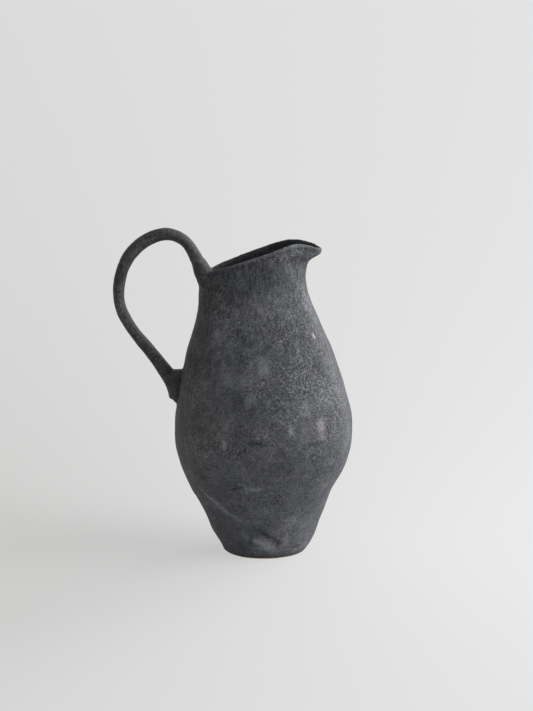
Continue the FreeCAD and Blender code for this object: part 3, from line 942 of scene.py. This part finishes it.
def crazing(nodes, links, place):
    """Small plates with dark cracks between them, about 0."""
    bend = nodes.new("ShaderNodeTexNoise")
    bend.inputs["Scale"].default_value = PLATE_BEND_SCALE
    links.new(place, bend.inputs["Vector"])
    bent = nodes.new("ShaderNodeVectorMath")
    bent.operation = "MULTIPLY_ADD"
    bent.inputs[1].default_value = (PLATE_BEND, PLATE_BEND, PLATE_BEND)
    links.new(bend.outputs["Color"], bent.inputs[0])
    links.new(place, bent.inputs[2])
    cracks = nodes.new("ShaderNodeTexVoronoi")
    cracks.feature = "DISTANCE_TO_EDGE"
    cracks.inputs["Scale"].default_value = PLATE_SCALE
    links.new(bent.outputs[0], cracks.inputs["Vector"])
    plates = share_of(nodes, links, cracks.outputs["Distance"], *CRACK_WIDTH)
    return maths(nodes, links, "SUBTRACT", plates, PLATE_MEAN)


def smoked_clay():
    """Smoked black clay: cloudy, crazed, dusty and paler where it stands proud, with painted shade
    and highlights.
    """
    material, nodes, links, shader = graph("smoked_clay")
    place = nodes.new("ShaderNodeTexCoord").outputs["Object"]
    mottle = noise(nodes, links, place, MOTTLE_SCALE, 4, 0.6)
    grain = noise(nodes, links, place, GRAIN_SCALE, 3, 0.7)
    wrinkles = noise(nodes, links, place, WRINKLE_SCALE, 2)
    wrinkles = maths(nodes, links, "MULTIPLY", wrinkles, WRINKLE_GAIN)
    plates = maths(nodes, links, "MULTIPLY", crazing(nodes, links, place), PLATE_GAIN)
    wrinkles = maths(nodes, links, "ADD", wrinkles, plates)
    crackle = maths(nodes, links, "MULTIPLY", wrinkles, attribute(nodes, "crazed"))

    paler = attribute(nodes, "tone")
    harsh = maths(nodes, links, "MULTIPLY", grain, attribute(nodes, "crazed"))
    for part, weight in ((mottle, MOTTLE_TONE), (grain, GRAIN_TONE),
                         (harsh, HARSH_TONE), (crackle, CRACKLE_TONE)):
        paler = maths(nodes, links, "ADD", paler, maths(nodes, links, "MULTIPLY", part, weight))
    brown = attribute(nodes, "brown")
    colour = mixed(nodes, links, brown, CLAY, UMBER)
    # Pale dust, and the painted highlights that the tone carries, are mixed in from here
    dust_and_highlight = mixed(nodes, links, brown, PALE, ROSE)
    colour = mixed(nodes, links, share_of(nodes, links, paler, 0, PALE_AT), colour, dust_and_highlight)
    colour = mixed(nodes, links, share_of(nodes, links, paler, 0, DARK_AT), colour, DARK)
    colour = mixed(nodes, links, share_of(nodes, links, paler, CHIP_FROM, CHIP_AT), colour, CHIP)
    uneven = maths(nodes, links, "ADD", mottle, grain)
    # Painted shade inside the jug: the inside is mixed towards DARK, a little unevenly
    shade = maths(nodes, links, "SUBTRACT", INSIDE_PAINTED_SHADE, uneven)
    shade = maths(nodes, links, "MULTIPLY", attribute(nodes, "inside"), shade)
    colour = mixed(nodes, links, shade, colour, DARK)

    parted = nodes.new("ShaderNodeSeparateXYZ")
    links.new(place, parted.inputs[0])
    waver = noise(nodes, links, place, BARE_SCALE, 2)
    waver = maths(nodes, links, "MULTIPLY", waver, BARE_WAVER)
    height = maths(nodes, links, "ADD", parted.outputs["Z"], waver)
    bare = share_of(nodes, links, height, SKIN_ABOVE, BARE_BELOW)
    colour = mixed(nodes, links, bare, colour, RUST)
    links.new(colour, shader.inputs["Base Color"])

    rougher = maths(nodes, links, "MULTIPLY", paler, PALE_ROUGHER)
    rough = maths(nodes, links, "ADD", rougher, ROUGHNESS)
    links.new(maths(nodes, links, "MINIMUM", rough, 1.0), shader.inputs["Roughness"])
    shader.inputs["Specular IOR Level"].default_value = CLAY_SPECULAR

    bump = nodes.new("ShaderNodeBump")
    bump.inputs["Strength"].default_value = BUMP_STRENGTH
    bump.inputs["Distance"].default_value = BUMP
    fine = maths(nodes, links, "MULTIPLY", crackle, CRACKLE_BUMP)
    fine = maths(nodes, links, "ADD", grain, fine)
    links.new(fine, bump.inputs["Height"])
    links.new(bump.outputs["Normal"], shader.inputs["Normal"])
    return material


clay = smoked_clay()
for node, piece in pieces.items():
    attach(piece, "root")
    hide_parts(node)
    piece.data.materials.append(clay)
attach(handle, "root")
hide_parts(*HANDLE_NODES)
handle.data.materials.append(clay)


# The floor and the light. The camera sees the floor and the sky in a plain pale grey, which
# is a little paler on the side that the light comes from.
SEEN_LEFT = (0.650, 0.650, 0.640, 1)
SEEN_RIGHT = (0.935, 0.937, 0.940, 1)
FLOOR_GREY = (0.70, 0.70, 0.70, 1)
FLOOR_ROUGHNESS = 0.9
FLOOR_SPECULAR = 0.2
SEEN_SHARE = 0.68
SEEN_SIDE = 0.42
SEEN_NEAR = 0.35
FLOOR_RADIUS = 60
SKY = 0.29
SKY_LEFT = (0.60, 0.60, 0.60, 1)
SKY_RIGHT = (1.40, 1.40, 1.40, 1)
KEY = 3.2
EDGE = 1.3
KEY_WIDTH = math.radians(60)
KEY_BEARING = math.radians(-8)
KEY_HEIGHT = math.radians(22)
EDGE_WIDTH = math.radians(30)
EDGE_BEARING = math.radians(48)


def seen_grey(nodes, links, place, near):
    """The grey that the camera sees in a direction from the jug."""
    parted = nodes.new("ShaderNodeSeparateXYZ")
    links.new(place, parted.inputs[0])
    length = nodes.new("ShaderNodeVectorMath")
    length.operation = "LENGTH"
    links.new(place, length.inputs[0])
    away = maths(nodes, links, "ADD", length.outputs["Value"], near)
    side = maths(nodes, links, "DIVIDE", parted.outputs["X"], away)
    right = share_of(nodes, links, side, -SEEN_SIDE, SEEN_SIDE)
    return mixed(nodes, links, right, SEEN_LEFT, SEEN_RIGHT)


def seen_directly(nodes, links):
    """1 where the camera or a mirror looks at a surface, and 0 where light falls on it."""
    path = nodes.new("ShaderNodeLightPath")
    mirror = maths(nodes, links, "MAXIMUM", path.outputs["Is Glossy Ray"],
                   path.outputs["Is Transmission Ray"])
    return maths(nodes, links, "MAXIMUM", path.outputs["Is Camera Ray"], mirror)


def floor_paint():
    """Pale matt paint, which keeps some of the jug's shadow where it is seen."""
    material, nodes, links, shader = graph("floor_paint")
    shader.inputs["Base Color"].default_value = FLOOR_GREY
    shader.inputs["Roughness"].default_value = FLOOR_ROUGHNESS
    shader.inputs["Specular IOR Level"].default_value = FLOOR_SPECULAR
    place = nodes.new("ShaderNodeNewGeometry").outputs["Position"]
    glow = nodes.new("ShaderNodeEmission")
    links.new(seen_grey(nodes, links, place, SEEN_NEAR), glow.inputs["Color"])
    blend = nodes.new("ShaderNodeMixShader")
    share = maths(nodes, links, "MULTIPLY", seen_directly(nodes, links), SEEN_SHARE)
    links.new(share, blend.inputs["Fac"])
    links.new(shader.outputs[0], blend.inputs[1])
    links.new(glow.outputs[0], blend.inputs[2])
    links.new(blend.outputs[0], nodes["Material Output"].inputs["Surface"])
    return material


def sky():
    """A weak light from all round, more of it from the right, seen as grey as the floor."""
    world = bpy.data.worlds.new("studio")
    world.use_nodes = True
    nodes, links = world.node_tree.nodes, world.node_tree.links
    light = nodes["Background"]
    light.inputs["Strength"].default_value = SKY
    seen = nodes.new("ShaderNodeBackground")
    place = nodes.new("ShaderNodeTexCoord").outputs["Generated"]
    parted = nodes.new("ShaderNodeSeparateXYZ")
    links.new(place, parted.inputs[0])
    right = share_of(nodes, links, parted.outputs["X"], -1, 1)
    links.new(mixed(nodes, links, right, SKY_LEFT, SKY_RIGHT), light.inputs["Color"])
    links.new(seen_grey(nodes, links, place, 0), seen.inputs["Color"])
    blend = nodes.new("ShaderNodeMixShader")
    links.new(seen_directly(nodes, links), blend.inputs["Fac"])
    links.new(light.outputs[0], blend.inputs[1])
    links.new(seen.outputs[0], blend.inputs[2])
    links.new(blend.outputs[0], nodes["World Output"].inputs["Surface"])
    return world


bpy.ops.mesh.primitive_circle_add(vertices=128, radius=FLOOR_RADIUS, fill_type="NGON")
floor = bpy.context.object
floor.name = "floor"
floor.data.materials.append(floor_paint())
bpy.context.scene.world = sky()


def window(name, strength, width, bearing, height):
    """A broad, distant light."""
    lamp = bpy.data.lights.new(name, "SUN")
    lamp.energy = strength
    lamp.angle = width
    piece = bpy.data.objects.new(name, lamp)
    towards = Vector((math.cos(bearing) * math.cos(height), math.sin(bearing) * math.cos(height),
                      math.sin(height)))
    piece.rotation_euler = towards.to_track_quat("Z", "Y").to_euler()
    bpy.context.scene.collection.objects.link(piece)


window("window", KEY, KEY_WIDTH, KEY_BEARING, KEY_HEIGHT)
window("far_window", EDGE, EDGE_WIDTH, EDGE_BEARING, KEY_HEIGHT)

# The camera: its sensor and lens in mm, its place, and how far it looks down and turns, in
# degrees
SENSOR = 36
LENS = 119.0
CAMERA_PLACE = (0, -2.102, 0.576)
CAMERA_DOWN = 10.647
CAMERA_TURN = -0.0756

camera_data = bpy.data.cameras.new("camera")
camera_data.sensor_width = SENSOR
camera_data.lens = LENS
camera = bpy.data.objects.new("camera", camera_data)
camera.location = CAMERA_PLACE
camera.rotation_euler = (math.radians(90 - CAMERA_DOWN), 0, math.radians(CAMERA_TURN))
bpy.context.scene.collection.objects.link(camera)
bpy.context.scene.camera = camera
bpy.context.scene.view_settings.view_transform = "Standard"
